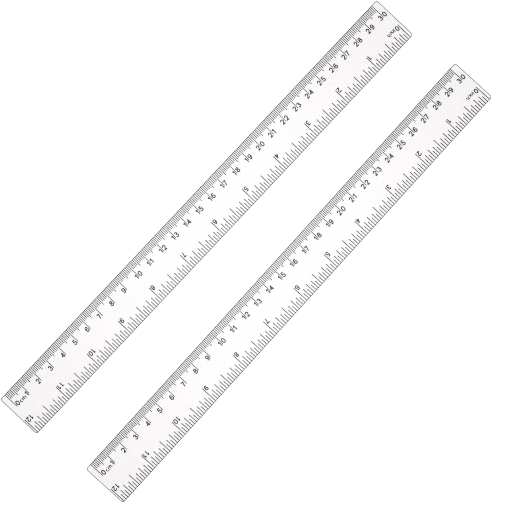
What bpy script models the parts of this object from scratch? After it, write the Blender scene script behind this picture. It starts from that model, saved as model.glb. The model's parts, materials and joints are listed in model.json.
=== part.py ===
"""Two loose straight rulers, 30 cm and 12 inch, lying side by side on a table.

Each ruler is one flat clear plastic blade with four rounded corners and softly rounded rims.
The rear ruler sets the axes: +X runs along it from its 0 cm end to its 30 cm end, and +Y points
across it to its centimetre edge. The front ruler lies on the -Y side and is turned a little, so
the two centimetre edges are nearly parallel, as far as rulers laid down by hand ever are.
The origin is the middle of the pair, at table height. Units are metres, +Z is up.
"""

import math

import bmesh
import bpy
from mathutils import Vector

# One blade
BLADE_LENGTH = 0.308  # 30 cm of scale, with 3.7 mm and 4.3 mm of plain plastic past its ends
BLADE_WIDTH = 0.0283
BLADE_THICKNESS = 0.0022
CORNER_RADIUS = 0.0015  # of the four corners, seen from above
CORNER_STEPS = 10  # facets in each quarter turn
RIM_RADIUS = 0.0003  # rounding of the top and bottom rims
RIM_STEPS = 3

# The front ruler's middle, measured from the rear ruler's middle, and how far it is turned
PAIR_OFFSET_ALONG = 0.0048
PAIR_OFFSET_ACROSS = -0.0590
PAIR_SKEW = math.radians(1.05)

# Clear polystyrene
CLEAR_COLOUR = (0.93, 0.94, 0.94, 1.0)
CLEAR_ROUGHNESS = 0.08
CLEAR_REFRACTION = 1.59
CLEAR_TRANSMISSION = 0.9

RIM_MIN_ANGLE = math.radians(50)  # the rims turn 90 degrees, the facets of a corner only 9
SMOOTH_BELOW = math.radians(35)


def clear_scene():
    """Removes whatever the file opened with."""
    for thing in list(bpy.data.objects):
        bpy.data.objects.remove(thing, do_unlink=True)


def clear_plastic():
    """The blades' material."""
    material = bpy.data.materials.new("clear_plastic")
    material.use_nodes = True
    shader = material.node_tree.nodes["Principled BSDF"]
    shader.inputs["Base Color"].default_value = CLEAR_COLOUR
    shader.inputs["Roughness"].default_value = CLEAR_ROUGHNESS
    shader.inputs["Metallic"].default_value = 0.0
    shader.inputs["IOR"].default_value = CLEAR_REFRACTION
    shader.inputs["Transmission Weight"].default_value = CLEAR_TRANSMISSION
    return material


def blade_outline():
    """The blade seen from above: a long rectangle with an arc at each corner, anticlockwise."""
    reach_x = BLADE_LENGTH / 2 - CORNER_RADIUS
    reach_y = BLADE_WIDTH / 2 - CORNER_RADIUS
    outline = []
    for quarter, (side_x, side_y) in enumerate(((1, 1), (-1, 1), (-1, -1), (1, -1))):
        for step in range(CORNER_STEPS + 1):
            angle = math.radians(90) * (quarter + step / CORNER_STEPS)
            outline.append(
                Vector(
                    (
                        side_x * reach_x + CORNER_RADIUS * math.cos(angle),
                        side_y * reach_y + CORNER_RADIUS * math.sin(angle),
                        0.0,
                    )
                )
            )
    return outline


def blade_mesh(material):
    """A flat plate of the outline, standing on z = 0, which both rulers share."""
    mesh = bpy.data.meshes.new("ruler_blade")
    form = bmesh.new()
    bottom = form.faces.new([form.verts.new(point) for point in blade_outline()])
    raised = bmesh.ops.extrude_face_region(form, geom=[bottom])
    top = [item for item in raised["geom"] if isinstance(item, bmesh.types.BMVert)]
    bmesh.ops.translate(form, verts=top, vec=Vector((0, 0, BLADE_THICKNESS)))
    bmesh.ops.recalc_face_normals(form, faces=form.faces)
    form.to_mesh(mesh)
    form.free()
    mesh.shade_smooth()
    mesh.set_sharp_from_angle(angle=SMOOTH_BELOW)
    mesh.materials.append(material)
    return mesh


def ruler(name, mesh, middle, turn):
    """One ruler: the blade with its rims rounded, its origin in the middle of its underside."""
    blade = bpy.data.objects.new(name, mesh)
    blade.location = middle
    blade.rotation_euler = (0, 0, turn)
    rims = blade.modifiers.new("rounded_rims", "BEVEL")
    rims.width = RIM_RADIUS
    rims.segments = RIM_STEPS
    rims.limit_method = "ANGLE"
    rims.angle_limit = RIM_MIN_ANGLE
    bpy.context.scene.collection.objects.link(blade)
    return blade


def turned_reach(turn):
    """How far a blade turned by this angle reaches from its middle, along X and along Y."""
    along = BLADE_LENGTH / 2 - CORNER_RADIUS
    across = BLADE_WIDTH / 2 - CORNER_RADIUS
    cos, sin = abs(math.cos(turn)), abs(math.sin(turn))
    return Vector((along * cos + across * sin, along * sin + across * cos, 0)) + Vector(
        (CORNER_RADIUS, CORNER_RADIUS, 0)
    )


def pair_middle():
    """The middle of the box around both rulers, measured from the rear ruler's middle."""
    rear_reach = turned_reach(0)
    front_middle = Vector((PAIR_OFFSET_ALONG, PAIR_OFFSET_ACROSS, 0))
    front_reach = turned_reach(PAIR_SKEW)
    low_x = min(-rear_reach.x, front_middle.x - front_reach.x)
    high_x = max(rear_reach.x, front_middle.x + front_reach.x)
    low_y = min(-rear_reach.y, front_middle.y - front_reach.y)
    high_y = max(rear_reach.y, front_middle.y + front_reach.y)
    return Vector(((low_x + high_x) / 2, (low_y + high_y) / 2, 0))


def main():
    clear_scene()
    mesh = blade_mesh(clear_plastic())
    rear_middle = -pair_middle()
    front_middle = rear_middle + Vector((PAIR_OFFSET_ALONG, PAIR_OFFSET_ACROSS, 0))
    ruler("rear_ruler", mesh, rear_middle, 0)
    ruler("front_ruler", mesh, front_middle, PAIR_SKEW)


main()
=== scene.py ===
"""Looks of two loose clear plastic rulers, 30 cm and 12 inch, lying on a white table.

Each ruler is a fine clear blade, which stands for its CAD node, and six printed pieces on the
underside of that blade: marks, numerals and unit for the centimetres and for the inches.
All of it is made in the ruler's own axes (x along it from 0 cm to 30 cm, y towards the centimetre
edge, z up, origin in the middle of the underside) and then laid where the CAD node lies.
Lengths are metres.
"""

import json
import math

import bmesh
import bpy
from mathutils import Matrix, Vector
from mathutils.geometry import delaunay_2d_cdt


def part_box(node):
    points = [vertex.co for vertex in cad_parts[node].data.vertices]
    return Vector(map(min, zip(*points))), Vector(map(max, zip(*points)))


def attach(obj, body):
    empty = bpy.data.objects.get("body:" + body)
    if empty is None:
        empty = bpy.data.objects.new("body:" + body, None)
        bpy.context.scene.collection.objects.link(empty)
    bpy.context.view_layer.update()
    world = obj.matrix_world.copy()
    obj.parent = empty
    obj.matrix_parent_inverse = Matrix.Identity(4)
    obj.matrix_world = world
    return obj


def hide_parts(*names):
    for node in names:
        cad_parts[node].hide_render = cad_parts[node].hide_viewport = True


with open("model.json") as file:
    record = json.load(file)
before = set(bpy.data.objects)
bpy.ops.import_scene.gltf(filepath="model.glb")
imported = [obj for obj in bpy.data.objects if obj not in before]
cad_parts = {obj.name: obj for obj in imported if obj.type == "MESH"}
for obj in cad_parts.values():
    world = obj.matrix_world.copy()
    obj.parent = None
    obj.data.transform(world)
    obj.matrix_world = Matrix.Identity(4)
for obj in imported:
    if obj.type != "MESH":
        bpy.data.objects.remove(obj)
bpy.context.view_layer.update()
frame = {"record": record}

MM = 0.001

# The blade's sizes, from the rear ruler, which lies square to the axes
rear_low, rear_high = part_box("rear_ruler")
LENGTH, WIDTH, THICKNESS = rear_high - rear_low

# Blade
CORNER_RADIUS = 1.5 * MM  # seen from above
CORNER_STEPS = 24
RIM_RADIUS = 0.3 * MM
RIM_STEPS = 7
RIM_SHADE_LINE = 0.43 * MM  # width of the dark line of painted shade that runs along every rim
RIM_SHADE_FADE = 0.12 * MM  # over this much of it the painted shade darkens
OWN_PLACE = "own_place"  # the mesh attribute that holds each point's place in the ruler's own axes

# Print, on the underside. The marks start where its flat begins, inside the rounded rim
INK_TOP = 0.02 * MM  # into the plastic
INK_BOTTOM = -0.02 * MM
EDGE_Y = WIDTH / 2 - RIM_RADIUS
CM = 10 * MM
CM_COUNT = 30
CM_START_X = -LENGTH / 2 + 3.7 * MM
CM_LINE = 0.36 * MM  # width of a mark
INCH = 25.4 * MM
INCH_COUNT = 12
INCH_START_X = LENGTH / 2 - 2.0 * MM
INCH_LINE = 0.41 * MM

# How far each kind of mark reaches in from the blade's edge; on the inch side 16 is a sixteenth
CM_REACH = {"millimetre": 4.35 * MM, "half": 5.75 * MM, "whole": 9.6 * MM}
INCH_REACH = {16: 4.25 * MM, 8: 5.85 * MM, 4: 6.85 * MM, 2: 8.1 * MM, 1: 10.3 * MM}
INCH_PARTS = 16

# Characters are designed in cap heights: 1 is the height of a capital or a numeral
DIGIT_STROKE = 0.182
LETTER_STROKE = 0.175
DIGIT_WIDTH = 0.66
DIGIT_ADVANCE = 0.776  # a digit's width with the space after it
DIGIT_NARROWING = 0.955  # the finished digits are this much narrower than their design
X_TOP = 0.66  # height of the middle line of an n's shoulder
STEM_TOP = 0.725  # where the stems of i, m and n end
ARC_STEPS = 20
LEAST_LENGTH = 1e-6  # points closer than this are one point

# Where the characters stand, and how high they are
CM_CAP_HEIGHT = 3.0 * MM
CM_BASELINE_Y = WIDTH / 2 - 10.05 * MM
CM_GAP = 0.6 * MM  # from the middle of a mark to its numeral
CM_UNIT_CAP_HEIGHT = 2.3 * MM
CM_UNIT_X = CM_START_X + 3.25 * MM
INCH_CAP_HEIGHT = 2.9 * MM
INCH_BASELINE_Y = -WIDTH / 2 + 10.4 * MM
INCH_GAP = 0.68 * MM
INCH_UNIT_CAP_HEIGHT = 0.93 * CM_UNIT_CAP_HEIGHT
INCH_UNIT_X = INCH_START_X - 3.3 * MM
UPSIDE_DOWN = math.pi


# ---------------------------------------------------------------- lettering

def arc(cx, cy, rx, ry, start, end, steps=ARC_STEPS):
    """Points on an oval arc, angles in degrees."""
    points = []
    for i in range(steps + 1):
        angle = math.radians(start + (end - start) * i / steps)
        points.append(Vector((cx + rx * math.cos(angle), cy + ry * math.sin(angle))))
    return points


def curve(start, control, end, steps=ARC_STEPS // 2):
    """Points on a curve that leaves start and reaches end towards control."""
    start, control, end = Vector(start), Vector(control), Vector(end)
    points = []
    for i in range(steps + 1):
        t = i / steps
        points.append(start * (1 - t) ** 2 + control * (2 * t * (1 - t)) + end * t * t)
    return points


def line(*points):
    """Straight from point to point."""
    return [Vector(p) for p in points]


def nought():
    return [arc(0.33, 0.5, 0.265, 0.4325, 0, 360, 2 * ARC_STEPS)]


def six():
    bowl = arc(0.335, 0.3175, 0.2575, 0.25, 0, 360, 2 * ARC_STEPS)
    back = arc(0.355, 0.47, 0.28, 0.4625, 190, 38)
    return [bowl, back]


def nine():
    """A six turned upside down."""
    return [[Vector((DIGIT_WIDTH - p.x, 1 - p.y)) for p in stroke] for stroke in six()]


def arch(left, right, spring):
    """The shoulder of an n: up from the left stem, over and down the right one."""
    middle, reach = (left + right) / 2, (right - left) / 2
    return arc(middle, spring, reach, X_TOP - spring, 180, 0) + line((right, 0))


# Each character's width with its space, and the middle lines of its strokes
CHARACTERS = {
    "0": (DIGIT_ADVANCE, nought()),
    "1": (DIGIT_ADVANCE, [
        line((0.40, 0), (0.40, 1)),
        curve((0.12, 0.745), (0.30, 0.79), (0.385, 0.94)),
    ]),
    "2": (DIGIT_ADVANCE, [
        arc(0.325, 0.69, 0.25, 0.2425, 182, -22)
        + curve((0.555, 0.59), (0.47, 0.42), (0.09, 0.08)),
        line((0.035, 0.0675), (0.625, 0.0675)),
    ]),
    "3": (DIGIT_ADVANCE, [
        arc(0.315, 0.737, 0.2225, 0.1955, 165, -90) + line((0.23, 0.5415)),
        arc(0.32, 0.3045, 0.255, 0.237, 90, -168),
    ]),
    "4": (DIGIT_ADVANCE, [
        line((0.47, 0), (0.47, 0.985)),
        line((0.455, 0.93), (0.075, 0.29)),
        line((-0.005, 0.29), (0.645, 0.29)),
    ]),
    "5": (DIGIT_ADVANCE, [
        line((0.59, 0.9325), (0.175, 0.9325), (0.122, 0.478)),
        arc(0.325, 0.3175, 0.265, 0.25, 140, -168),
    ]),
    "6": (DIGIT_ADVANCE, six()),
    "7": (DIGIT_ADVANCE, [
        line((0.035, 0.9325), (0.61, 0.9325)),
        curve((0.585, 0.92), (0.30, 0.55), (0.235, 0)),
    ]),
    "8": (DIGIT_ADVANCE, [
        arc(0.33, 0.737, 0.21, 0.1955, 0, 360, 2 * ARC_STEPS),
        arc(0.33, 0.3, 0.2575, 0.2325, 0, 360, 2 * ARC_STEPS),
    ]),
    "9": (DIGIT_ADVANCE, nine()),
    "c": (0.70, [arc(0.30, 0.3625, 0.22, 0.2975, 40, 320)]),
    "m": (1.163, [
        line((0.13, 0), (0.13, STEM_TOP)),
        arch(0.13, 0.58, 0.45),
        arch(0.58, 1.03, 0.45),
    ]),
    "i": (0.31, [line((0.155, 0), (0.155, STEM_TOP)), line((0.155, 0.865), (0.155, 1.0))]),
    "n": (0.776, [line((0.13, 0), (0.13, STEM_TOP)), arch(0.13, 0.64, 0.43)]),
    "h": (0.776, [line((0.13, 0), (0.13, 1.0)), arch(0.13, 0.64, 0.43)]),
}


def ribbon(points, width, first):
    """A stroke along the points: its corners, and its faces, which count the corners from first."""
    points = [
        point
        for i, point in enumerate(points)
        if i == 0 or (point - points[i - 1]).length > LEAST_LENGTH
    ]
    closed = (points[0] - points[-1]).length < LEAST_LENGTH
    if closed:
        points = points[:-1]
    count = len(points)
    corners = []
    for i, point in enumerate(points):
        before = points[i - 1] if i > 0 or closed else None
        after = points[(i + 1) % count] if i < count - 1 or closed else None
        ways = []
        if before is not None:
            ways.append((point - before).normalized())
        if after is not None:
            ways.append((after - point).normalized())
        way = sum(ways, Vector((0, 0))).normalized()
        side = Vector((-way.y, way.x))
        # a mitred corner reaches further than half the stroke's width, but at most twice as far
        reach = width / 2 / max(0.5, side.dot(Vector((-ways[0].y, ways[0].x))))
        corners += [point + side * reach, point - side * reach]
    faces = []
    for i in range(count if closed else count - 1):
        j = (i + 1) % count
        faces.append([first + 2 * i + 1, first + 2 * j + 1, first + 2 * j, first + 2 * i])
    return corners, faces


def character_shape(strokes, width):
    """The strokes' ribbons joined into one flat shape without overlaps: points and triangles."""
    corners, faces = [], []
    for stroke in strokes:
        more_corners, more_faces = ribbon(stroke, width, len(corners))
        corners += more_corners
        faces += more_faces
    merged = delaunay_2d_cdt(corners, [], faces, 1, LEAST_LENGTH, True)
    points, _, triangles, _, _, sources = merged
    inked = [triangle for triangle, source in zip(triangles, sources) if source]
    return points, inked


def shapes():
    """Each character's width with its space, its points and its triangles."""
    made = {}
    for key, (advance, strokes) in CHARACTERS.items():
        if key.isdigit():
            narrow = DIGIT_NARROWING
            strokes = [[Vector((p.x * narrow, p.y)) for p in stroke] for stroke in strokes]
            made[key] = (advance * narrow, *character_shape(strokes, DIGIT_STROKE))
        else:
            made[key] = (advance, *character_shape(strokes, LETTER_STROKE))
    return made


SHAPES = shapes()


def add_solid(form, points, faces):
    """Adds a flat shape to a form as a film of ink, from INK_BOTTOM to INK_TOP."""
    used = sorted({i for face in faces for i in face})
    low = {i: form.verts.new((*points[i], INK_BOTTOM)) for i in used}
    top = {i: form.verts.new((*points[i], INK_TOP)) for i in used}
    edges = [edge for face in faces for edge in zip(face, face[1:] + face[:1])]
    shared = set(edges)
    for face in faces:
        form.faces.new([low[i] for i in reversed(face)])
        form.faces.new([top[i] for i in face])
    for a, b in edges:
        if (b, a) not in shared:  # only one face has this edge, so a wall stands on it
            form.faces.new([low[a], low[b], top[b], top[a]])


def ink_span(key):
    """Where a character's ink starts and ends, in cap heights."""
    across = [p.x for p in SHAPES[key][1]]
    return min(across), max(across)


def add_text(form, text, place, height, reading_turn=0.0, ends_there=False):
    """Adds characters of this cap height, turned by reading_turn about place.

    place is the point on the baseline where their ink starts or, with ends_there, where it ends.
    """
    turn = Matrix.Rotation(reading_turn, 2)
    x = -ink_span(text[0])[0]
    if ends_there:
        x = -ink_span(text[-1])[1] - sum(SHAPES[key][0] for key in text[:-1])
    for key in text:
        advance, points, triangles = SHAPES[key]
        moved = [place + turn @ (Vector((p.x + x, p.y)) * height) for p in points]
        add_solid(form, moved, triangles)
        x += advance


def add_mark(form, x, width, y_edge, y_end):
    """Adds one mark, a thin bar from the edge inwards."""
    corners = [
        Vector((x - width / 2, y_edge)),
        Vector((x + width / 2, y_edge)),
        Vector((x + width / 2, y_end)),
        Vector((x - width / 2, y_end)),
    ]
    add_solid(form, corners, [[0, 1, 2, 3]])


# ---------------------------------------------------------------- scales

def cm_marks(form):
    for step in range(CM_COUNT * 10 + 1):
        kind = "millimetre"
        if step % 10 == 0:
            kind = "whole"
        elif step % 5 == 0:
            kind = "half"
        x = CM_START_X + step * CM / 10
        add_mark(form, x, CM_LINE, EDGE_Y, WIDTH / 2 - CM_REACH[kind])


def cm_numerals(form):
    """0 after its mark, 1 to 9 before theirs, and the two digits of 10 to 30 on either side."""
    for number in range(CM_COUNT + 1):
        x = CM_START_X + number * CM
        before = Vector((x - CM_GAP, CM_BASELINE_Y))
        after = Vector((x + CM_GAP, CM_BASELINE_Y))
        if number == 0:
            add_text(form, "0", after, CM_CAP_HEIGHT)
            continue
        digits = str(number)
        add_text(form, digits[0], before, CM_CAP_HEIGHT, ends_there=True)
        if number >= 10:
            add_text(form, digits[1], after, CM_CAP_HEIGHT)


def cm_unit(form):
    add_text(form, "cm", Vector((CM_UNIT_X, CM_BASELINE_Y)), CM_UNIT_CAP_HEIGHT)


def inch_marks(form):
    for step in range(INCH_COUNT * INCH_PARTS + 1):
        part = INCH_PARTS
        while part > 1 and step % (2 * INCH_PARTS // part) == 0:
            part //= 2
        x = INCH_START_X - step * INCH / INCH_PARTS
        add_mark(form, x, INCH_LINE, -WIDTH / 2 + INCH_REACH[part], -EDGE_Y)


def inch_numerals(form):
    """Upside down to the centimetre side: 0 after its mark, and 1 to 12 before theirs."""
    for number in range(INCH_COUNT + 1):
        x = INCH_START_X - number * INCH
        if number == 0:
            after = Vector((x - INCH_GAP, INCH_BASELINE_Y))
            add_text(form, "0", after, INCH_CAP_HEIGHT, UPSIDE_DOWN)
        else:
            before = Vector((x + INCH_GAP, INCH_BASELINE_Y))
            add_text(form, str(number), before, INCH_CAP_HEIGHT, UPSIDE_DOWN, ends_there=True)


def inch_unit(form):
    start = Vector((INCH_UNIT_X, INCH_BASELINE_Y))
    add_text(form, "inch", start, INCH_UNIT_CAP_HEIGHT, UPSIDE_DOWN)


PRINT = {
    "cm_marks": cm_marks,
    "cm_numerals": cm_numerals,
    "cm_unit": cm_unit,
    "inch_marks": inch_marks,
    "inch_numerals": inch_numerals,
    "inch_unit": inch_unit,
}


def print_mesh(name, draw):
    """The mesh of one printed piece, filled in by its draw function."""
    form = bmesh.new()
    draw(form)
    bmesh.ops.recalc_face_normals(form, faces=form.faces)
    mesh = bpy.data.meshes.new(name)
    form.to_mesh(mesh)
    form.free()
    return mesh


# ---------------------------------------------------------------- blade

def outline(inset):
    """The blade's outline seen from above, drawn in by inset."""
    reach_x = LENGTH / 2 - CORNER_RADIUS
    reach_y = WIDTH / 2 - CORNER_RADIUS
    radius = CORNER_RADIUS - inset
    points = []
    for quarter, (side_x, side_y) in enumerate(((1, 1), (-1, 1), (-1, -1), (1, -1))):
        for step in range(CORNER_STEPS + 1):
            angle = math.radians(90) * (quarter + step / CORNER_STEPS)
            x = side_x * reach_x + radius * math.cos(angle)
            y = side_y * reach_y + radius * math.sin(angle)
            points.append((x, y))
    return points


def blade_mesh():
    """Rings of points up the bottom rim, the side and the top rim, closed by two flat faces."""
    form = bmesh.new()
    rings = []
    # each rim is a quarter turn; -90 degrees points down, 0 out and 90 up
    for start, middle_z in ((-90, RIM_RADIUS), (0, THICKNESS - RIM_RADIUS)):
        for step in range(RIM_STEPS + 1):
            angle = math.radians(start + 90 * step / RIM_STEPS)
            inset = RIM_RADIUS * (1 - math.cos(angle))
            z = middle_z + RIM_RADIUS * math.sin(angle)
            rings.append([form.verts.new((x, y, z)) for x, y in outline(inset)])
    for lower, upper in zip(rings, rings[1:]):
        for i in range(len(lower)):
            j = (i + 1) % len(lower)
            form.faces.new([lower[i], lower[j], upper[j], upper[i]])
    form.faces.new(list(reversed(rings[0])))
    form.faces.new(rings[-1])
    bmesh.ops.recalc_face_normals(form, faces=form.faces)
    mesh = bpy.data.meshes.new("blade")
    form.to_mesh(mesh)
    form.free()
    mesh.shade_smooth()
    own_place = mesh.attributes.new(OWN_PLACE, "FLOAT_VECTOR", "POINT")
    for vertex, kept in zip(mesh.vertices, own_place.data):
        kept.vector = vertex.co
    return mesh


# ---------------------------------------------------------------- materials

# Clear polystyrene
CLEAR_COLOUR = (0.985, 0.964, 0.974)
RIM_LONG_PAINTED_SHADE = (0.03, 0.03, 0.03)  # painted shade: the dark line along the rims' long sides
RIM_END_PAINTED_SHADE = (0.12, 0.12, 0.12)  # and along the short ends, which are fainter in the photo
# painted shade: the upright sides are grey, though the plastic is clear
SIDE_PAINTED_SHADE = (0.72, 0.72, 0.73)
REFRACTION = 1.59
THROUGH_COLOUR = (0.978, 0.978, 0.978)  # of lamp light on what lies under the blade
SIDE_FACING = 0.1  # a face is a side when its normal's Z is less than this
SCRATCH_SCALE = (60, 2500, 60)  # long and fine along the ruler, per metre
SCRATCH_RANGE = (0.45, 0.75)  # of the noise
FLAT_ROUGHNESS = (0.06, 0.16)  # between the scratches and on them
SIDE_ROUGHNESS = 0.14  # more than that on the sides
WAVE_SCALE = 90  # per metre
SCRATCH_RELIEF = 0.02  # in waves
WAVE_HEIGHT = 0.02 * MM

# Black ink
INK_GRAIN = 3000  # per metre
INK_THIN_COLOUR = (0.022, 0.021, 0.021, 1)
INK_THICK_COLOUR = (0.006, 0.006, 0.007, 1)
INK_ROUGHNESS = (0.35, 0.65)


def new_material(name):
    """A material, its node tree and its Principled shader."""
    material = bpy.data.materials.new(name)
    material.use_nodes = True
    return material, material.node_tree, material.node_tree.nodes["Principled BSDF"]


def maths(tree, operation, first, second=None):
    """A Math node's result; an input is a socket or a number."""
    node = tree.nodes.new("ShaderNodeMath")
    node.operation = operation
    for i, value in enumerate((first, second)):
        if isinstance(value, bpy.types.NodeSocket):
            tree.links.new(value, node.inputs[i])
        elif value is not None:
            node.inputs[i].default_value = value
    return node.outputs["Value"]


def map_range(tree, value, before, after):
    """The value moved from one range to another, and kept inside it."""
    node = tree.nodes.new("ShaderNodeMapRange")
    node.inputs["From Min"].default_value, node.inputs["From Max"].default_value = before
    node.inputs["To Min"].default_value, node.inputs["To Max"].default_value = after
    tree.links.new(value, node.inputs["Value"])
    return node.outputs["Result"]


def noise(tree, place, scale, detail):
    """Noise between 0 and 1, with most of it near 0.5."""
    node = tree.nodes.new("ShaderNodeTexNoise")
    node.inputs["Scale"].default_value = scale
    node.inputs["Detail"].default_value = detail
    tree.links.new(place, node.inputs["Vector"])
    return node.outputs["Fac"]


def colour_mix(tree, factor, first, second):
    """A Mix node's colour; first and second are sockets or colours."""
    node = tree.nodes.new("ShaderNodeMix")
    node.data_type = "RGBA"
    tree.links.new(factor, node.inputs[0])
    for socket, value in ((node.inputs[6], first), (node.inputs[7], second)):
        if isinstance(value, bpy.types.NodeSocket):
            tree.links.new(value, socket)
        else:
            socket.default_value = (*value, 1)
    return node.outputs[2]


def on_side(tree):
    """1 on the blade's upright sides, 0 on its flats and most of its rims."""
    place = tree.nodes.new("ShaderNodeTexCoord")
    facing = tree.nodes.new("ShaderNodeSeparateXYZ")
    tree.links.new(place.outputs["Normal"], facing.inputs["Vector"])
    return maths(tree, "GREATER_THAN", SIDE_FACING, maths(tree, "ABSOLUTE", facing.outputs["Z"]))


def past_arc_middles(tree, coordinate, size):
    """How far a point lies past the middles of the corner arcs, along or across."""
    past = maths(tree, "SUBTRACT", maths(tree, "ABSOLUTE", coordinate), size / 2 - CORNER_RADIUS)
    return maths(tree, "MAXIMUM", past, 0.0)


def rim_tint(tree, place, side):
    """The plastic's base colour: clear on the flats, with painted shade: dark along the rims and
    grey on the sides.
    """
    split = tree.nodes.new("ShaderNodeSeparateXYZ")
    tree.links.new(place, split.inputs["Vector"])
    along = past_arc_middles(tree, split.outputs["X"], LENGTH)
    across = past_arc_middles(tree, split.outputs["Y"], WIDTH)
    along_squared = maths(tree, "POWER", along, 2.0)
    across_squared = maths(tree, "POWER", across, 2.0)
    reach = maths(tree, "SQRT", maths(tree, "ADD", along_squared, across_squared))
    # where the painted dark line of shade along the rims begins, and how it fades in
    line_start = CORNER_RADIUS - RIM_SHADE_LINE
    rim = map_range(tree, reach, (line_start, line_start + RIM_SHADE_FADE), (0.0, 1.0))
    endward = maths(tree, "DIVIDE", along, maths(tree, "MAXIMUM", reach, 0.01 * MM))
    dark = colour_mix(tree, endward, RIM_LONG_PAINTED_SHADE, RIM_END_PAINTED_SHADE)
    # the sides get the painted grey shade, the rims the painted dark line
    edge = colour_mix(tree, side, dark, SIDE_PAINTED_SHADE)
    return colour_mix(tree, rim, CLEAR_COLOUR, edge)


def clear_plastic():
    material, tree, shader = new_material("clear_polystyrene")
    nodes, links = tree.nodes, tree.links
    shader.inputs["IOR"].default_value = REFRACTION
    shader.inputs["Transmission Weight"].default_value = 1.0
    own = nodes.new("ShaderNodeAttribute")
    own.attribute_name = OWN_PLACE
    place = own.outputs["Vector"]
    # long fine scratches from sliding over paper
    stretch = nodes.new("ShaderNodeMapping")
    stretch.inputs["Scale"].default_value = SCRATCH_SCALE
    links.new(place, stretch.inputs["Vector"])
    scratches = noise(tree, stretch.outputs["Vector"], 1.0, 3.0)
    rough = map_range(tree, scratches, SCRATCH_RANGE, FLAT_ROUGHNESS)
    # the sides are duller than the flats
    side = on_side(tree)
    dulled = maths(tree, "ADD", rough, maths(tree, "MULTIPLY", side, SIDE_ROUGHNESS))
    links.new(dulled, shader.inputs["Roughness"])
    # slow waves of the moulded flats, with the scratches on them
    waves = noise(tree, place, WAVE_SCALE, 1.0)
    relief = maths(tree, "ADD", waves, maths(tree, "MULTIPLY", scratches, SCRATCH_RELIEF))
    bump = nodes.new("ShaderNodeBump")
    bump.inputs["Strength"].default_value = 1.0
    bump.inputs["Distance"].default_value = WAVE_HEIGHT
    links.new(relief, bump.inputs["Height"])
    links.new(bump.outputs["Normal"], shader.inputs["Normal"])
    # the base colour carries painted shade: a dark line along the rims and grey sides
    links.new(rim_tint(tree, place, side), shader.inputs["Base Color"])
    # lamps light what lies under the clear blade
    through = nodes.new("ShaderNodeBsdfTransparent")
    through.inputs["Color"].default_value = (*THROUGH_COLOUR, 1)
    path = nodes.new("ShaderNodeLightPath")
    rays = path.outputs["Is Shadow Ray"], path.outputs["Is Diffuse Ray"]
    mix = nodes.new("ShaderNodeMixShader")
    links.new(maths(tree, "MAXIMUM", *rays), mix.inputs["Fac"])
    links.new(shader.outputs["BSDF"], mix.inputs[1])
    links.new(through.outputs["BSDF"], mix.inputs[2])
    links.new(mix.outputs["Shader"], nodes["Material Output"].inputs["Surface"])
    return material


def ink():
    material, tree, shader = new_material("black_ink")
    nodes, links = tree.nodes, tree.links
    place = nodes.new("ShaderNodeTexCoord")
    cloud = noise(tree, place.outputs["Object"], INK_GRAIN, 4.0)
    tone = nodes.new("ShaderNodeValToRGB")
    thick, thin = tone.color_ramp.elements
    thick.position, thick.color = 0.35, INK_THICK_COLOUR
    thin.position, thin.color = 0.75, INK_THIN_COLOUR
    links.new(cloud, tone.inputs["Fac"])
    links.new(tone.outputs["Color"], shader.inputs["Base Color"])
    links.new(map_range(tree, cloud, (0.0, 1.0), INK_ROUGHNESS), shader.inputs["Roughness"])
    return material


# ---------------------------------------------------------------- the two rulers

PLASTIC = clear_plastic()
INK = ink()
BLADE = blade_mesh()
BLADE.materials.append(PLASTIC)
PRINTED = {name: print_mesh(name, draw) for name, draw in PRINT.items()}
for printed in PRINTED.values():
    printed.materials.append(INK)


def ruler_turn(node):
    """How far a ruler is turned about Z, from the record's mount on its centimetre edge."""
    edge = node.split("_")[0] + "_cm_edge"
    axis = next(m["axis"] for m in frame["record"]["mounts"] if m["name"] == edge)
    return math.atan2(-axis[0], axis[1])


def lay(name, mesh, place, body):
    """Puts a mesh where its ruler lies, to ride on that ruler's body."""
    piece = bpy.data.objects.new(name, mesh)
    bpy.context.scene.collection.objects.link(piece)
    piece.matrix_world = place
    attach(piece, body)
    return piece


for node in ("rear_ruler", "front_ruler"):
    low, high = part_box(node)
    middle = (low + high) / 2
    turn = Matrix.Rotation(ruler_turn(node), 4, "Z")
    place = Matrix.Translation((middle.x, middle.y, low.z)) @ turn
    blade = lay(node + "_blade", BLADE, place, node)
    normals = blade.modifiers.new("flat_faces_stay_flat", "WEIGHTED_NORMAL")
    normals.mode = "FACE_AREA"
    normals.weight = 100
    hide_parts(node)
    for kind, mesh in PRINTED.items():
        lay(f"{node}_{kind}", mesh, place, node)


# ---------------------------------------------------------------- stage

FLOOR_Z = -0.06 * MM  # just under the ink
FLOOR_SIDE = 12.0
FLOOR_CELLS = 24
FLOOR_CLOUDS = 2.5  # per metre
FLOOR_TONES = (0.90, 0.915)


def white_floor():
    form = bmesh.new()
    cells = {"x_segments": FLOOR_CELLS, "y_segments": FLOOR_CELLS}
    bmesh.ops.create_grid(form, size=FLOOR_SIDE / 2, **cells)
    bmesh.ops.translate(form, verts=form.verts, vec=Vector((0, 0, FLOOR_Z)))
    mesh = bpy.data.meshes.new("table")
    form.to_mesh(mesh)
    form.free()
    material, tree, shader = new_material("white_table")
    place = tree.nodes.new("ShaderNodeTexCoord")
    cloud = noise(tree, place.outputs["Object"], FLOOR_CLOUDS, 2.0)
    tone = tree.nodes.new("ShaderNodeValToRGB")
    for element, level in zip(tone.color_ramp.elements, FLOOR_TONES):
        element.color = (level, level, level, 1)
    tree.links.new(cloud, tone.inputs["Fac"])
    tree.links.new(tone.outputs["Color"], shader.inputs["Base Color"])
    shader.inputs["Roughness"].default_value = 0.9
    shader.inputs["Specular IOR Level"].default_value = 0.0
    mesh.materials.append(material)
    table = bpy.data.objects.new("table", mesh)
    bpy.context.scene.collection.objects.link(table)


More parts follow.
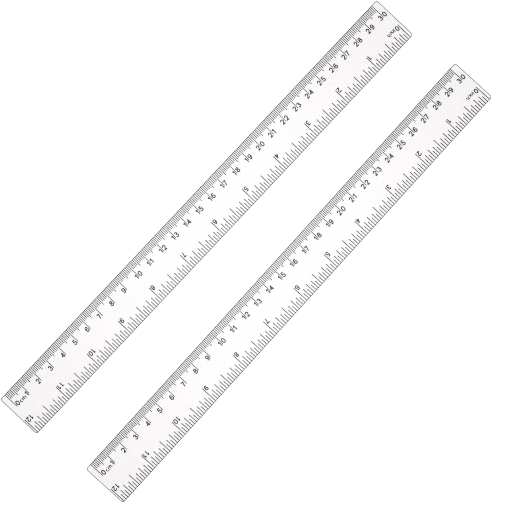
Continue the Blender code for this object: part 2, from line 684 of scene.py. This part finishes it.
# The studio's grey level by the sine of the height, from the horizon (0) to straight above (1)
HEIGHT_LEVELS = ((0.0, 0.62), (0.12, 0.66), (0.38, 0.95), (0.93, 0.95), (0.97, 0.12), (1.0, 0.12))
STUDIO_STRENGTH = 1.31


def studio_world():
    """Soft light from all sides, dimmer near the horizon and dark above, behind the soft box.

    The camera itself sees plain white.
    """
    world = bpy.data.worlds.new("studio")
    bpy.context.scene.world = world
    world.use_nodes = True
    nodes, links = world.node_tree.nodes, world.node_tree.links
    nodes.clear()
    place = nodes.new("ShaderNodeTexCoord")
    parts = nodes.new("ShaderNodeSeparateXYZ")
    links.new(place.outputs["Generated"], parts.inputs["Vector"])
    ramp = nodes.new("ShaderNodeValToRGB")
    ramp.color_ramp.interpolation = "EASE"
    elements = ramp.color_ramp.elements
    while len(elements) < len(HEIGHT_LEVELS):
        elements.new(0.5)
    for element, (position, level) in zip(elements, HEIGHT_LEVELS):
        element.position = position
        element.color = (level, level, level, 1)
    links.new(parts.outputs["Z"], ramp.inputs["Fac"])
    studio = nodes.new("ShaderNodeBackground")
    studio.inputs["Strength"].default_value = STUDIO_STRENGTH
    links.new(ramp.outputs["Color"], studio.inputs["Color"])
    plain = nodes.new("ShaderNodeBackground")
    plain.inputs["Color"].default_value = (1, 1, 1, 1)
    path = nodes.new("ShaderNodeLightPath")
    mix = nodes.new("ShaderNodeMixShader")
    links.new(path.outputs["Is Camera Ray"], mix.inputs["Fac"])
    links.new(studio.outputs["Background"], mix.inputs[1])
    links.new(plain.outputs["Background"], mix.inputs[2])
    out = nodes.new("ShaderNodeOutputWorld")
    links.new(mix.outputs["Shader"], out.inputs["Surface"])


SOFTBOX_HEIGHT = 2.0
SOFTBOX_WIDTHS = (0.27, 0.36, 0.45, 0.54, 0.63)
SOFTBOX_LENGTH = 1.2
SOFTBOX_RADIANCE = 1.1  # of all its panels together
PANEL_STEP = 0.001  # each panel hangs this much above the one before


def overhead_softbox():
    """A long soft box over the rulers, made of nested panels so that its long sides fade."""
    for number, width in enumerate(SOFTBOX_WIDTHS):
        light = bpy.data.lights.new(f"softbox_{number}", "AREA")
        light.shape = "RECTANGLE"
        light.size = width
        light.size_y = SOFTBOX_LENGTH
        radiance = SOFTBOX_RADIANCE / len(SOFTBOX_WIDTHS)
        light.energy = radiance * math.pi * width * SOFTBOX_LENGTH
        thing = bpy.data.objects.new(f"softbox_{number}", light)
        thing.location = (0, 0, SOFTBOX_HEIGHT + number * PANEL_STEP)
        bpy.context.scene.collection.objects.link(thing)


FIELD = 287.3 * MM  # across the picture, at the blades
LENS = 200.0  # this and the sensor are in mm, as Blender has them
SENSOR = 36.0
PICTURE_TURN = math.radians(46.684)
AIM = Vector((3.1 * MM, -35.1 * MM, 0))  # from the rear ruler's middle


def camera():
    """Straight above, turned so that the rulers run from lower left to upper right."""
    view = bpy.data.cameras.new("camera")
    view.lens = LENS
    view.sensor_width = SENSOR
    view.clip_start = 0.01
    view.clip_end = 50
    thing = bpy.data.objects.new("camera", view)
    middle = (rear_low + rear_high) / 2
    height = FIELD / 2 / (SENSOR / 2 / LENS)
    thing.location = middle + AIM + Vector((0, 0, height))
    thing.rotation_euler = (0, 0, -PICTURE_TURN)
    bpy.context.scene.collection.objects.link(thing)
    bpy.context.scene.camera = thing


white_floor()
studio_world()
overhead_softbox()
camera()
bpy.context.scene.view_settings.view_transform = "Standard"
# the marks are finer than a pixel: the denoiser must not smooth them away
bpy.context.scene.cycles.denoising_prefilter = "NONE"
bpy.context.scene.cycles.filter_width = 1.0
# light that enters a blade's side is reflected many times before it leaves
bpy.context.scene.cycles.max_bounces = 32
bpy.context.scene.cycles.glossy_bounces = 24
bpy.context.scene.cycles.transmission_bounces = 24
